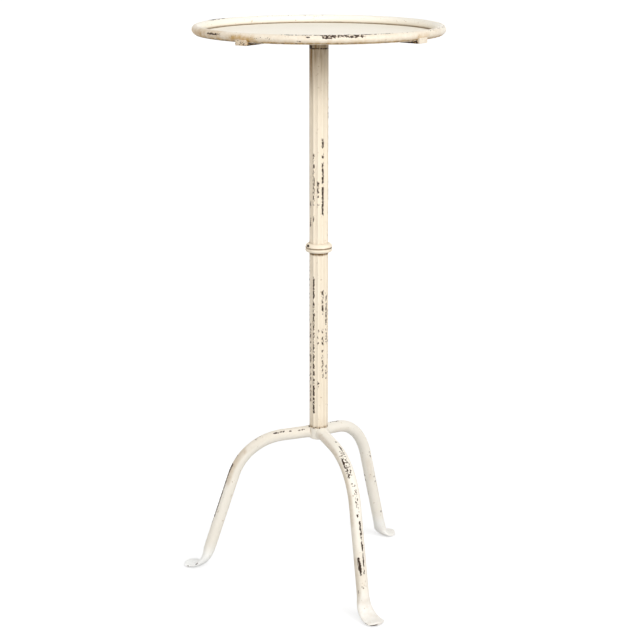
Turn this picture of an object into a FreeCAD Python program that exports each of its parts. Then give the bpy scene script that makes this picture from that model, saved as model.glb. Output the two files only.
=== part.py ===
import FreeCAD, Part
import math
import os
import Sketcher
from FreeCAD import Placement, Rotation, Vector

# A small round drinks table in painted iron: a sheet tray inside a round-bar hoop, carried on a
# cross of two flat bars, a fluted tubular column in two lengths joined inside a double ring, and
# a hub with three bent round-bar legs whose ends are hammered into spoon feet.
# Origin: centre of the tray's top face, on the column axis. +Z is up, and -Y faces the viewer.
# Heights in the sheet are measured from the ground.

dimensions = {
    # Tray
    "tray_diameter": 304.8,  # over the outside of the hoop
    "tray_height": 698,  # ground to the top face of the tray sheet
    "sheet_thickness": 1,  # tray sheet
    "rim_section": 10.5,  # diameter of the hoop's round bar
    "rim_flat": 0.25,  # depth of the flat under the hoop, where it is welded down
    "seat_depth": 0.25,  # depth of the pressed seat for the hoop
    "seat_margin": 0.4,  # flat top face stops this far inside the hoop
    # Cross under the tray
    "strap_width": 15.5,  # flat bar
    "strap_thickness": 3.2,  # flat bar
    "strap_overhang": 1,  # claw's outer face beyond the hoop
    "claw_rise": 3.4,  # claw above the top of the flat bar
    "claw_gap": 0.1,  # between the claw and the hoop or the sheet's edge
    "strap_bearing": 234.9,  # direction of the first bar, in degrees
    "strap_crossing": 86.3,  # angle between the two bars, in degrees
    "boss_height": 14.1,  # plain collar under the cross
    # Column
    "column_diameter": 23.4,  # over the ridges
    "bore_diameter": 16,  # inside the tubes
    "flute_count": 12,  # flutes round the column
    "flute_depth": 0.85,  # below the ridges
    "flute_radius": 8.4,  # hollow of one flute
    "flute_bearing": 10.5,  # direction of the first flute, in degrees
    "ring_height": 435,  # ground to the seam between the two rings
    "ring_diameter": 33.6,  # over the double ring
    "ring_thickness": 5.6,  # one ring
    # Threaded joints
    "plug_length": 20,  # plug pressed into a tube end
    "thread_diameter": 8,  # studs and base screw
    "thread_gap": 0.05,  # all round a thread
    "stud_length": 24,  # stud, half on each side of its seam
    "stud_room": 1,  # beyond the stud in a blind hole
    "screw_length": 30,  # base screw with its head
    "screw_head": 15.2,  # diameter of the countersunk head
    "screw_socket": 5,  # across the flats of the hexagon socket
    "screw_socket_depth": 2.8,  # hexagon socket
    "screw_clearance": 0.2,  # all round the base screw in the hub
    # Hub and legs
    "hub_bottom": 186.2,  # ground to the underside of the hub
    "hub_top": 201.7,  # ground to the top of the hub
    "hub_round": 0.6,  # rounded lower edge of the hub
    "leg_diameter": 15,  # round bar
    "leg_level": 195.7,  # ground to the leg's centre line at the column axis
    "leg_droop": 9.48,  # fall of the upper run, in degrees
    "leg_reach": 94.45,  # axis to the corner where the two runs would meet
    "leg_bend_radius": 83.2,  # knee, on the centre line
    "leg_splay": 17.95,  # lower run from the vertical, in degrees
    "leg_bearing": 175.25,  # direction of the left leg, in degrees
    "front_leg_turn": -3.1,  # front leg about its own tenon, in degrees
    "tenon_diameter": 8,  # turned end in the hub
    "tenon_gap": 0.05,  # all round the tenon and beyond its end
    "tenon_start": 6.5,  # axis to the end of the tenon
    # Spoon feet
    "foot_start": 32,  # ground to where the bar starts to flatten
    "foot_bend_radius": 25,  # outward bend of the left and front feet
    "rear_bend_radius": 12.5,  # outward bend of the rear foot
    "paddle_width": 26,  # widest
    "paddle_thickness": 6,  # before the sole is dressed flat
    "paddle_length": 8,  # straight stretch beyond the bend, left and front
    "rear_paddle_length": 9.5,  # straight stretch beyond the bend, rear
    "paddle_lift": 0.8,  # upturn at the tip
    "sole_cut": 0.5,  # dressed off the underside
    "left_foot_turn": -31,  # toe away from the line of its leg, in degrees
    "front_foot_turn": 14,  # toe away from the line of its leg, in degrees
    "rear_foot_turn": -35,  # toe away from the line of its leg, in degrees
}

doc = FreeCAD.newDocument("WineTable")
sizes = doc.addObject("Spreadsheet::Sheet", "Sizes")
for row, (alias, number) in enumerate(dimensions.items(), 1):
    sizes.set("A" + str(row), alias.replace("_", " "))
    sizes.set("B" + str(row), str(number))
    sizes.setAlias("B" + str(row), alias)
doc.recompute()

parts = []


def value(alias):
    return float(sizes.get(alias))


def bind(thing, **expressions):
    for name, text in expressions.items():
        thing.setExpression(name.replace("__", "."), text)


def limit(sketch, kind, *references, text):
    number = sketch.addConstraint(Sketcher.Constraint(kind, *references, evaluate(text)))
    sketch.setExpression("Constraints[" + str(number) + "]", text)


def newBody(label, height, bearing="0"):
    body = doc.addObject("PartDesign::Body", label)
    body.Label = label
    body.setExpression("Placement.Base.z", height + " - Sizes.tray_height")
    body.Placement.Rotation = Rotation(Vector(0, 0, 1), 0)
    body.setExpression("Placement.Rotation.Angle", bearing + " * 1 deg")
    parts.append(body)
    return body


def newSketch(body, role, name):
    sketch = body.newObject("Sketcher::SketchObject", name)
    plane = [item for item in body.Origin.OriginFeatures if item.Role == role][0]
    sketch.AttachmentSupport = [(plane, "")]
    sketch.MapMode = "FlatFace"
    return sketch


def raiseSketch(sketch, text):
    sketch.setExpression("AttachmentOffset.Base.z", text)


def evaluate(text):
    # first guess for a drawn point, from the same words that drive its constraint
    probe = sizes.evalExpression(text)
    return float(getattr(probe, "Value", probe))


def drawCircle(sketch, diameter, across="0", up="0"):
    centre = Vector(evaluate(across), evaluate(up), 0)
    circle = Part.Circle(centre, Vector(0, 0, 1), evaluate(diameter) / 2)
    number = sketch.addGeometry(circle, False)
    place(sketch, number, 3, across, up)
    limit(sketch, "Diameter", number, text=diameter)
    return number


def place(sketch, number, end, across, up):
    limit(sketch, "DistanceX", -1, 1, number, end, text=across)
    limit(sketch, "DistanceY", -1, 1, number, end, text=up)


def drawOutline(sketch, corners):
    points = [Vector(evaluate(across), evaluate(up), 0) for across, up in corners]
    numbers = []
    for index, point in enumerate(points):
        after = points[(index + 1) % len(points)]
        numbers.append(sketch.addGeometry(Part.LineSegment(point, after), False))
    for index, number in enumerate(numbers):
        after = numbers[(index + 1) % len(numbers)]
        sketch.addConstraint(Sketcher.Constraint("Coincident", number, 2, after, 1))
        place(sketch, number, 1, *corners[index])
    return numbers


def drawBlock(sketch, left, low, right, high):
    return drawOutline(sketch, [(left, low), (right, low), (right, high), (left, high)])


def addPad(body, sketch, length, name):
    pad = body.newObject("PartDesign::Pad", name)
    pad.Profile = sketch
    pad.setExpression("Length", length)
    return pad


def addPocket(body, sketch, length, name, upward=False):
    pocket = body.newObject("PartDesign::Pocket", name)
    pocket.Profile = sketch
    pocket.Reversed = upward
    pocket.setExpression("Length", length)
    return pocket


def addTurning(body, sketch, kind, name):
    turning = body.newObject(kind, name)
    turning.Profile = sketch
    turning.ReferenceAxis = (sketch, ["V_Axis"])
    turning.Angle = 360
    return turning


def addPattern(body, feature, count, name):
    pattern = body.newObject("PartDesign::PolarPattern", name)
    pattern.Originals = [feature]
    axis = [item for item in body.Origin.OriginFeatures if item.Role == "Z_Axis"][0]
    pattern.Axis = (axis, [""])
    pattern.Angle = 360
    pattern.setExpression("Occurrences", count)
    body.Tip = pattern
    return pattern


rimRadius = "(Sizes.tray_diameter / 2 - Sizes.rim_section / 2)"
rimLevel = "(Sizes.rim_section / 2 - Sizes.rim_flat - Sizes.seat_depth)"
rimInside = "(Sizes.tray_diameter / 2 - Sizes.rim_section)"
sheetRadius = "(" + rimRadius + " + sqrt(pow(Sizes.rim_section / 2; 2)"
sheetRadius += " - pow(Sizes.rim_section / 2 - Sizes.rim_flat; 2)))"
strapBottom = "(Sizes.tray_height - Sizes.sheet_thickness - Sizes.strap_thickness)"
columnTop = "(" + strapBottom + " - Sizes.boss_height)"
threadHole = "(Sizes.thread_diameter + 2 * Sizes.thread_gap)"


# Tray sheet: a flat disc whose border is pressed down a little as a seat for the hoop
tray = newBody("tray_sheet", "Sizes.tray_height")
section = newSketch(tray, "XZ_Plane", "TraySection")
flatEdge = rimInside + " - Sizes.seat_margin"
drawOutline(section, [
    ("0", "-Sizes.sheet_thickness"),
    (sheetRadius, "-Sizes.sheet_thickness"),
    (sheetRadius, "-Sizes.seat_depth"),
    (flatEdge, "-Sizes.seat_depth"),
    (flatEdge, "0"),
    ("0", "0"),
])
addTurning(tray, section, "PartDesign::Revolution", "TrayTurning")

# Hoop: a ring of round bar with a narrow flat under it
hoop = newBody("rim_hoop", "Sizes.tray_height")
section = newSketch(hoop, "XZ_Plane", "HoopSection")
barRadius = value("rim_section") / 2
flatHalf = math.sqrt(barRadius ** 2 - (barRadius - value("rim_flat")) ** 2)
flatAngle = math.atan2(-(barRadius - value("rim_flat")), flatHalf)
centre = Vector(evaluate(rimRadius), evaluate(rimLevel), 0)
circle = Part.Circle(centre, Vector(0, 0, 1), barRadius)
arc = section.addGeometry(Part.ArcOfCircle(circle, flatAngle, math.pi - flatAngle), False)
low = centre.y - barRadius + value("rim_flat")
rightEnd = Vector(centre.x + flatHalf, low, 0)
leftEnd = Vector(centre.x - flatHalf, low, 0)
flat = section.addGeometry(Part.LineSegment(leftEnd, rightEnd), False)
section.addConstraint(Sketcher.Constraint("Coincident", arc, 2, flat, 1))
section.addConstraint(Sketcher.Constraint("Coincident", flat, 2, arc, 1))
section.addConstraint(Sketcher.Constraint("Horizontal", flat))
place(section, arc, 3, rimRadius, rimLevel)
limit(section, "Radius", arc, text="Sizes.rim_section / 2")
limit(section, "DistanceY", -1, 1, flat, 1, text="-Sizes.seat_depth")
addTurning(hoop, section, "PartDesign::Revolution", "HoopTurning")


# Cross: two flat bars halved into each other, each end turned up as a claw round the hoop
strapEnd = "(Sizes.tray_diameter / 2 + Sizes.strap_overhang)"
clawFoot = "(" + sheetRadius + " + Sizes.claw_gap)"
halfStrap = "Sizes.strap_width / 2"


def makeStrap(label, bearing, notchTop):
    strap = newBody(label, strapBottom, bearing)
    bar = newSketch(strap, "XY_Plane", label + "Bar")
    drawBlock(bar, "-" + strapEnd, "-" + halfStrap, strapEnd, halfStrap)
    addPad(strap, bar, "Sizes.strap_thickness", label + "Blank")
    for name, inner, outer in (
        ("Near", clawFoot, strapEnd),
        ("Far", "-" + strapEnd, "-" + clawFoot),
    ):
        end = newSketch(strap, "XY_Plane", label + name)
        drawBlock(end, inner, "-" + halfStrap, outer, halfStrap)
        addPad(strap, end, "Sizes.strap_thickness + Sizes.claw_rise", label + name + "Claw")
    seat = newSketch(strap, "XZ_Plane", label + "Seat")
    level = rimLevel + " + Sizes.strap_thickness + Sizes.sheet_thickness"
    drawCircle(seat, "Sizes.rim_section + 2 * Sizes.claw_gap", rimRadius, level)
    addTurning(strap, seat, "PartDesign::Groove", label + "Hollow")
    notch = newSketch(strap, "XY_Plane", label + "Notch")
    raiseSketch(notch, "Sizes.strap_thickness / 2")
    turn = "(Sizes.strap_crossing * 1 deg)"
    along = "(Sizes.strap_width / sin" + turn + ")"
    slant = "(Sizes.strap_width / tan" + turn + ")"
    side = "-1" if notchTop else "1"
    drawOutline(notch, [
        ("-" + along + " / 2 + " + side + " * " + slant + " / 2", "-" + halfStrap),
        (along + " / 2 + " + side + " * " + slant + " / 2", "-" + halfStrap),
        (along + " / 2 - " + side + " * " + slant + " / 2", halfStrap),
        ("-" + along + " / 2 - " + side + " * " + slant + " / 2", halfStrap),
    ])
    addPocket(strap, notch, "Sizes.strap_thickness", label + "Halving", notchTop)


makeStrap("strap_lower", "Sizes.strap_bearing", True)
makeStrap("strap_upper", "(Sizes.strap_bearing + Sizes.strap_crossing)", False)

# Boss: a plain collar welded under the crossing, with a blind threaded hole
boss = newBody("top_boss", columnTop)
disc = newSketch(boss, "XY_Plane", "BossRound")
drawCircle(disc, "Sizes.column_diameter")
addPad(boss, disc, "Sizes.boss_height", "BossBlank")
hole = newSketch(boss, "XY_Plane", "BossHole")
drawCircle(hole, threadHole)
addPocket(boss, hole, "Sizes.stud_length / 2 + Sizes.stud_room", "BossThread", True)


# Column: two fluted tubes, with a threaded plug pressed into each end
def makeTube(label, bottom, length):
    tube = newBody(label, bottom, "Sizes.flute_bearing")
    ring = newSketch(tube, "XY_Plane", label + "Ring")
    drawCircle(ring, "Sizes.column_diameter")
    drawCircle(ring, "Sizes.bore_diameter")
    addPad(tube, ring, length, label + "Blank")
    groove = newSketch(tube, "XY_Plane", label + "Groove")
    away = "Sizes.column_diameter / 2 - Sizes.flute_depth + Sizes.flute_radius"
    drawCircle(groove, "2 * Sizes.flute_radius", away)
    flute = addPocket(tube, groove, length, label + "Flute", True)
    addPattern(tube, flute, "Sizes.flute_count", label + "Flutes")


def makePlug(label, bottom):
    plug = newBody(label, bottom)
    ring = newSketch(plug, "XY_Plane", label + "Ring")
    drawCircle(ring, "Sizes.bore_diameter")
    drawCircle(ring, threadHole)
    addPad(plug, ring, "Sizes.plug_length", label + "Blank")


makeTube("upper_tube", "Sizes.ring_height", columnTop + " - Sizes.ring_height")
makePlug("upper_tube_top_plug", "(" + columnTop + " - Sizes.plug_length)")
makePlug("upper_tube_bottom_plug", "Sizes.ring_height")
makeTube("lower_tube", "Sizes.hub_top", "Sizes.ring_height - Sizes.hub_top")
makePlug("lower_tube_top_plug", "(Sizes.ring_height - Sizes.plug_length)")
makePlug("lower_tube_bottom_plug", "Sizes.hub_top")


# Studs: one between boss and column, one inside the double ring
def makeStud(label, seam):
    stud = newBody(label, "(" + seam + " - Sizes.stud_length / 2)")
    disc = newSketch(stud, "XY_Plane", label + "Round")
    drawCircle(disc, "Sizes.thread_diameter")
    addPad(stud, disc, "Sizes.stud_length", label + "Rod")


makeStud("top_stud", columnTop)
makeStud("joining_stud", "Sizes.ring_height")


# Double ring: a quarter-round ring at the foot of the upper tube, and a half-round one under it
overhang = "((Sizes.ring_diameter - Sizes.column_diameter) / 2)"
inner = value("column_diameter") / 2
outer = value("ring_diameter") / 2
thick = value("ring_thickness")
lip = thick - (outer - inner)


def drawLine(sketch, start, end):
    return sketch.addGeometry(Part.LineSegment(Vector(*start, 0), Vector(*end, 0)), False)


def drawArc(sketch, centre, radius, start, end):
    circle = Part.Circle(Vector(*centre, 0), Vector(0, 0, 1), radius)
    return sketch.addGeometry(Part.ArcOfCircle(circle, math.radians(start), math.radians(end)), False)


def join(sketch, kind, first, firstEnd, second, secondEnd):
    sketch.addConstraint(Sketcher.Constraint(kind, first, firstEnd, second, secondEnd))


ring = newBody("upper_ring", "Sizes.ring_height")
section = newSketch(ring, "XZ_Plane", "UpperRingSection")
base = drawLine(section, (inner, 0), (outer, 0))
side = drawLine(section, (outer, 0), (outer, lip))
bead = drawArc(section, (inner, lip), outer - inner, 0, 90)
wall = drawLine(section, (inner, thick), (inner, 0))
join(section, "Coincident", base, 2, side, 1)
join(section, "Tangent", side, 2, bead, 1)
join(section, "Coincident", bead, 2, wall, 1)
join(section, "Coincident", wall, 2, base, 1)
section.addConstraint(Sketcher.Constraint("Horizontal", base))
section.addConstraint(Sketcher.Constraint("Vertical", side))
section.addConstraint(Sketcher.Constraint("Vertical", wall))
place(section, base, 1, "Sizes.column_diameter / 2", "0")
place(section, bead, 3, "Sizes.column_diameter / 2", "Sizes.ring_thickness - " + overhang)
limit(section, "Radius", bead, text=overhang)
addTurning(ring, section, "PartDesign::Revolution", "UpperRingTurning")

ring = newBody("lower_ring", "(Sizes.ring_height - Sizes.ring_thickness)")
section = newSketch(ring, "XZ_Plane", "LowerRingSection")
base = drawLine(section, (inner, 0), (outer - thick / 2, 0))
bead = drawArc(section, (outer - thick / 2, thick / 2), thick / 2, -90, 90)
top = drawLine(section, (outer - thick / 2, thick), (inner, thick))
wall = drawLine(section, (inner, thick), (inner, 0))
join(section, "Tangent", base, 2, bead, 1)
join(section, "Tangent", bead, 2, top, 1)
join(section, "Coincident", top, 2, wall, 1)
join(section, "Coincident", wall, 2, base, 1)
section.addConstraint(Sketcher.Constraint("Horizontal", base))
section.addConstraint(Sketcher.Constraint("Vertical", wall))
place(section, base, 1, "Sizes.column_diameter / 2", "0")
place(section, bead, 3, "(Sizes.ring_diameter - Sizes.ring_thickness) / 2", "Sizes.ring_thickness / 2")
addTurning(ring, section, "PartDesign::Revolution", "LowerRingTurning")

# Hub: a short cylinder with three sloping sockets and a countersunk hole from below
hub = newBody("hub", "Sizes.hub_bottom", "(Sizes.leg_bearing - 90)")
disc = newSketch(hub, "XY_Plane", "HubRound")
drawCircle(disc, "Sizes.column_diameter")
blank = addPad(hub, disc, "Sizes.hub_top - Sizes.hub_bottom", "HubBlank")
doc.recompute()
lowEdge = min(range(len(blank.Shape.Edges)), key=lambda i: blank.Shape.Edges[i].BoundBox.ZMax)
softened = hub.newObject("PartDesign::Fillet", "HubSoftened")
softened.Base = (blank, ["Edge" + str(lowEdge + 1)])
softened.setExpression("Radius", "Sizes.hub_round")
drilled = newSketch(hub, "XZ_Plane", "HubDrilled")
shankHole = "(Sizes.thread_diameter / 2 + Sizes.screw_clearance)"
headHole = "(Sizes.screw_head / 2)"
drawOutline(drilled, [
    ("0", "0"),
    (headHole, "0"),
    (shankHole, headHole + " - " + shankHole),
    (shankHole, "Sizes.hub_top - Sizes.hub_bottom"),
    ("0", "Sizes.hub_top - Sizes.hub_bottom"),
])
addTurning(hub, drilled, "PartDesign::Groove", "HubHole")
socket = newSketch(hub, "XZ_Plane", "HubSocket")
socketStart = "(Sizes.tenon_start - Sizes.tenon_gap)"
droop = "(Sizes.leg_droop * 1 deg)"
socket.AttachmentOffset = Placement(Vector(0, 0, 0), Rotation(Vector(1, 0, 0), 1))
bind(
    socket,
    AttachmentOffset__Base__y="Sizes.leg_level - Sizes.hub_bottom - " + socketStart + " * sin" + droop,
    AttachmentOffset__Base__z="-" + socketStart + " * cos" + droop,
    AttachmentOffset__Rotation__Angle="-Sizes.leg_droop * 1 deg",
)
drawCircle(socket, "Sizes.tenon_diameter + 2 * Sizes.tenon_gap")
bored = addPocket(hub, socket, "Sizes.column_diameter", "HubSocketBore")
addPattern(hub, bored, "3", "HubSockets")

# Base screw: countersunk, through the hub into the plug at the foot of the column
screw = newBody("base_screw", "Sizes.hub_bottom")
section = newSketch(screw, "XZ_Plane", "ScrewSection")
drawOutline(section, [
    ("0", "0"),
    ("Sizes.screw_head / 2", "0"),
    ("Sizes.thread_diameter / 2", "(Sizes.screw_head - Sizes.thread_diameter) / 2"),
    ("Sizes.thread_diameter / 2", "Sizes.screw_length"),
    ("0", "Sizes.screw_length"),
])
addTurning(screw, section, "PartDesign::Revolution", "ScrewTurning")
drive = newSketch(screw, "XY_Plane", "ScrewDrive")
corner = "(Sizes.screw_socket / sqrt(3))"
flatSide = "Sizes.screw_socket / 2"
drawOutline(drive, [
    (corner, "0"),
    (corner + " / 2", flatSide),
    ("-" + corner + " / 2", flatSide),
    ("-" + corner, "0"),
    ("-" + corner + " / 2", "-" + flatSide),
    (corner + " / 2", "-" + flatSide),
])
addPocket(screw, drive, "Sizes.screw_socket_depth", "ScrewHexagon", True)

# Legs: each is one bar that runs out along +Y, bends down at the knee and flattens into the foot.
# The foot bends out level, its toe turned a little from the line of the leg.
splay = "(Sizes.leg_splay * 1 deg)"
fall = "(90 - Sizes.leg_splay)"
cornerHeight = "(Sizes.leg_level - Sizes.leg_reach * tan" + droop + ")"
soleCentre = "(Sizes.paddle_thickness / 2 - Sizes.sole_cut)"
startOut = "(Sizes.tenon_start * cos" + droop + ")"
startUp = "(Sizes.leg_level - Sizes.tenon_start * sin" + droop + ")"


def runOut(height):
    return "(Sizes.leg_reach + (" + cornerHeight + " - " + height + ") * tan" + splay + ")"


def stand(thing, across, out, up, yaw, below):
    spot = "create(<<vector>>; " + across + "; " + out + "; " + up + ")"
    turn = "create(<<rotation>>; " + yaw + "; 0; -90 - " + below + ")"
    thing.setExpression("Placement", "create(<<placement>>; " + spot + "; " + turn + ")")


def makeRound(name, share, out, up, below):
    circle = doc.addObject("Part::Circle", name)
    circle.setExpression("Radius", share + " * Sizes.leg_diameter / 2")
    stand(circle, "0", out, up, "0", below)
    return circle


def makeOval(name, width, thickness, across, out, up, yaw, below):
    oval = doc.addObject("Part::Ellipse", name)
    oval.MajorRadius = evaluate(width)  # stays above the minor radius while both are bound
    bind(oval, MinorRadius="(" + thickness + ") / 2", MajorRadius="(" + width + ") / 2")
    stand(oval, across, out, up, yaw, below)
    return oval


def makePath(name):
    path = doc.addObject("Sketcher::SketchObject", name)
    path.Placement = Placement(Vector(0, 0, 0), Rotation(Vector(1, 1, 1), 120))
    tangentLength = "(Sizes.leg_bend_radius * tan(((" + fall + " - Sizes.leg_droop) / 2) * 1 deg))"
    corners = [
        (startOut, startUp),
        ("Sizes.leg_reach - " + tangentLength + " * cos" + droop,
         cornerHeight + " + " + tangentLength + " * sin" + droop),
        ("Sizes.leg_reach + " + tangentLength + " * sin" + splay,
         cornerHeight + " - " + tangentLength + " * cos" + splay),
        (runOut("Sizes.foot_start"), "Sizes.foot_start"),
    ]
    spots = [(evaluate(across), evaluate(up)) for across, up in corners]
    radius = value("leg_bend_radius")
    tilt = math.radians(value("leg_droop"))
    hinge = (spots[1][0] - math.sin(tilt) * radius, spots[1][1] - math.cos(tilt) * radius)
    upper = drawLine(path, spots[0], spots[1])
    knee = drawArc(path, hinge, radius, value("leg_splay"), 90 - value("leg_droop"))
    lower = drawLine(path, spots[2], spots[3])
    join(path, "Coincident", upper, 2, knee, 2)
    join(path, "Coincident", lower, 1, knee, 1)
    limit(path, "Radius", knee, text="Sizes.leg_bend_radius")
    place(path, upper, 1, *corners[0])
    place(path, upper, 2, *corners[1])
    place(path, lower, 1, *corners[2])
    place(path, lower, 2, *corners[3])
    return path


def makeFoot(label, footTurn, bendRadius, length):
    # The bend lies in the plane of the bar and the toe: sideways, outward and upward parts of the
    # direction in that plane square to the bar
    toe = "(" + footTurn + " * 1 deg)"
    meet = "(sin" + splay + " * cos" + toe + ")"
    bend = "acos" + meet
    square = "sqrt(1 - pow(" + meet + "; 2))"
    sideways = "(-sin" + toe + " / " + square + ")"
    outward = "((cos" + toe + " - " + meet + " * sin" + splay + ") / " + square + ")"
    upward = "(" + meet + " * cos" + splay + " / " + square + ")"
    heel = "(" + soleCentre + " + " + bendRadius + " * cos" + splay + " * tan(" + bend + " / 2))"

    def onBend(share):
        turn = "(" + bend + " * " + share + ")"
        rest = bendRadius + " * (1 - cos" + turn + ")"
        across = rest + " * " + sideways
        out = runOut(heel) + " + " + bendRadius + " * sin" + splay + " * sin" + turn
        up = heel + " - " + bendRadius + " * cos" + splay + " * sin" + turn
        return across, out + " + " + rest + " * " + outward, up + " + " + rest + " * " + upward

    def heading(share):
        turn = "(" + bend + " * " + share + ")"
        ahead = "(sin" + splay + " * cos" + turn + " + " + outward + " * sin" + turn + ")"
        aside = "(" + sideways + " * sin" + turn + ")"
        down = "(cos" + splay + " * cos" + turn + " - " + upward + " * sin" + turn + ")"
        return "atan2(-" + aside + "; " + ahead + ") / 1 deg", "asin" + down + " / 1 deg"

    wide = "Sizes.paddle_width"
    thin = "Sizes.paddle_thickness"
    thick = "Sizes.leg_diameter"
    root = "(Sizes.foot_start * 1.12)"  # starts a little way up inside the bar
    end = "Sizes.foot_start"
    ankle = "(" + heel + " + (Sizes.foot_start - " + heel + ") * 0.4)"
    onRun = ("0", runOut(ankle), ankle, "0", fall)
    sections = [
        makeRound(label + "_root", "0.97", runOut(root), root, fall),
        makeRound(label + "_end", "0.995", runOut(end), end, fall),
        makeOval(label + "_ankle", thick + " * 1.05", thick + " * 0.97", *onRun),
    ]
    for name, share, width, thickness in (
        ("heel", "0", wide + " * 0.68", thick + " * 0.84"),
        ("turn", "0.5", wide + " * 0.9", thin + " * 1.4"),
        ("instep", "1", wide, thin),
    ):
        sections.append(makeOval(label + "_" + name, width, thickness, *onBend(share), *heading(share)))
    across, out, up = onBend("1")
    for name, share in (("ball", "0.35"), ("front", "0.65"), ("toe", "0.86"), ("tip", "0.97")):
        ahead = " " + length + " * " + share
        spot = (across + " -" + ahead + " * sin" + toe, out + " +" + ahead + " * cos" + toe,
                soleCentre + " + Sizes.paddle_lift * pow(" + share + "; 3)")
        width = wide + " * sqrt(1 - pow(" + share + "; 2.2))"
        thickness = thin + " * sqrt(1 - 0.75 * pow(" + share + "; 6))"
        sections.append(makeOval(label + "_" + name, width, thickness, *spot, footTurn, "0"))
    foot = doc.addObject("Part::Loft", label + "_foot")
    foot.Sections = sections
    foot.Solid = True
    foot.Ruled = False
    return foot


def makeLeg(label, bearing, foot, legTurn="0"):
    sweep = doc.addObject("Part::Sweep", label + "_sweep")
    sweep.Sections = [makeRound(label + "_bar", "1", startOut, startUp, "Sizes.leg_droop")]
    sweep.Spine = (makePath(label + "_path"), ["Edge1", "Edge2", "Edge3"])
    sweep.Solid = True
    whole = doc.addObject("Part::Fuse", label + "_whole")
    whole.Base = sweep
    whole.Tool = makeFoot(label, *foot)
    upperRun = "create(<<vector>>; 0; cos" + droop + "; -sin" + droop + ")"
    turned = "create(<<rotation>>; " + upperRun + "; " + legTurn + ")"
    pivot = "create(<<vector>>; 0; 0; Sizes.leg_level)"
    still = "create(<<vector>>; 0; 0; 0)"
    whole.setExpression("Placement", "create(<<placement>>; " + still + "; " + turned + "; " + pivot + ")")

    cope = doc.addObject("Part::Cylinder", label + "_cope")
    bind(cope, Radius="Sizes.column_diameter / 2", Height="4 * Sizes.leg_diameter")
    cope.setExpression("Placement.Base.z", "Sizes.leg_level - 2 * Sizes.leg_diameter")
    coped = doc.addObject("Part::Cut", label + "_coped")
    coped.Base = whole
    coped.Tool = cope
    ground = doc.addObject("Part::Box", label + "_ground")
    bind(ground, Length="6 * Sizes.paddle_width", Width="3 * Sizes.leg_reach", Height="Sizes.leg_diameter")
    ground.setExpression("Placement.Base.x", "-3 * Sizes.paddle_width")
    ground.setExpression("Placement.Base.z", "-Sizes.leg_diameter")
    dressed = doc.addObject("Part::Cut", label + "_dressed")
    dressed.Base = coped
    dressed.Tool = ground
    tenon = doc.addObject("Part::Cylinder", label + "_tenon")
    bind(tenon, Radius="Sizes.tenon_diameter / 2")
    tenon.setExpression("Height", "Sizes.column_diameter / 2 - Sizes.tenon_start + Sizes.tenon_diameter / 2")
    stand(tenon, "0", startOut, startUp, "0", "Sizes.leg_droop")
    leg = doc.addObject("Part::Fuse", label)
    leg.Label = label
    leg.Base = dressed
    leg.Tool = tenon
    leg.Placement = Placement(Vector(0, 0, 0), Rotation(Vector(0, 0, 1), 1))
    leg.setExpression("Placement.Base.z", "-Sizes.tray_height")
    leg.setExpression("Placement.Rotation.Angle", "(" + bearing + " - 90) * 1 deg")
    parts.append(leg)


spoon = ("Sizes.foot_bend_radius", "Sizes.paddle_length")
rearSpoon = ("Sizes.rear_bend_radius", "Sizes.rear_paddle_length")
makeLeg("leg_left", "Sizes.leg_bearing", ("Sizes.left_foot_turn", *spoon))
makeLeg("leg_front", "Sizes.leg_bearing + 120", ("Sizes.front_foot_turn", *spoon), "Sizes.front_leg_turn")
makeLeg("leg_rear", "Sizes.leg_bearing + 240", ("Sizes.rear_foot_turn", *rearSpoon))

doc.recompute()
for thing in doc.Objects:
    if "Invalid" in thing.State or "Error" in thing.State:
        raise RuntimeError(thing.Label + " did not recompute: " + str(thing.State))
for piece in parts:
    if piece.Shape.isNull() or not piece.Shape.isValid() or len(piece.Shape.Solids) != 1:
        raise RuntimeError(piece.Label + " is not one sound solid")
os.makedirs("parts", exist_ok=True)
for piece in parts:
    piece.Shape.exportStep("parts/" + piece.Label + ".step")
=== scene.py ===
import bmesh
import bpy
import math
from mathutils import Matrix, Vector


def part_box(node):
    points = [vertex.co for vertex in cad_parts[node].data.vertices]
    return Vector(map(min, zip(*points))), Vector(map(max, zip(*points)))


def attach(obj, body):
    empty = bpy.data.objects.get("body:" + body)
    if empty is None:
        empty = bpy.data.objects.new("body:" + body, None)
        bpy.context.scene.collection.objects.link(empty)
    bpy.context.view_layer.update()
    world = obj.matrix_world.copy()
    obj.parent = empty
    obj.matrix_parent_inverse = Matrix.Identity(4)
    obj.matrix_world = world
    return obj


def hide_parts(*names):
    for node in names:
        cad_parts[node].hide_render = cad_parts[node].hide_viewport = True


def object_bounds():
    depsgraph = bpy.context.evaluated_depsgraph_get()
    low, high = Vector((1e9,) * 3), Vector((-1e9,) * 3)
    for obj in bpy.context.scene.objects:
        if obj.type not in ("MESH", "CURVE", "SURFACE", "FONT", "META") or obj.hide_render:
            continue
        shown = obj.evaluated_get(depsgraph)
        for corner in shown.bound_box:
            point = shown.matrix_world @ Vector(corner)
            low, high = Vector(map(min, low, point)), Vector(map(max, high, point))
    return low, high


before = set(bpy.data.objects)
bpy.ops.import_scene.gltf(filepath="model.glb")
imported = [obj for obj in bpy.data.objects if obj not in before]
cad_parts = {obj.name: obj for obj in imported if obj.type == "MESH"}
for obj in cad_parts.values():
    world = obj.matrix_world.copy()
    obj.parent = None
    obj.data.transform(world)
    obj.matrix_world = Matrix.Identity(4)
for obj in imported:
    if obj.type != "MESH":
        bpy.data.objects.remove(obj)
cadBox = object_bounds()
mm = 0.001  # the pieces are sized in millimetres, the studio in metres
ground = cadBox[0][2]  # the floor under the soles
scene = bpy.context.scene
print("frame loaded, ground at", round(ground, 4))


# materials

def linear(code):  # sRGB hex to linear colour
    parts = [int(code[i:i + 2], 16) / 255 for i in (1, 3, 5)]
    return [c / 12.92 if c <= 0.04045 else ((c + 0.055) / 1.055) ** 2.4 for c in parts] + [1]


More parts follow.
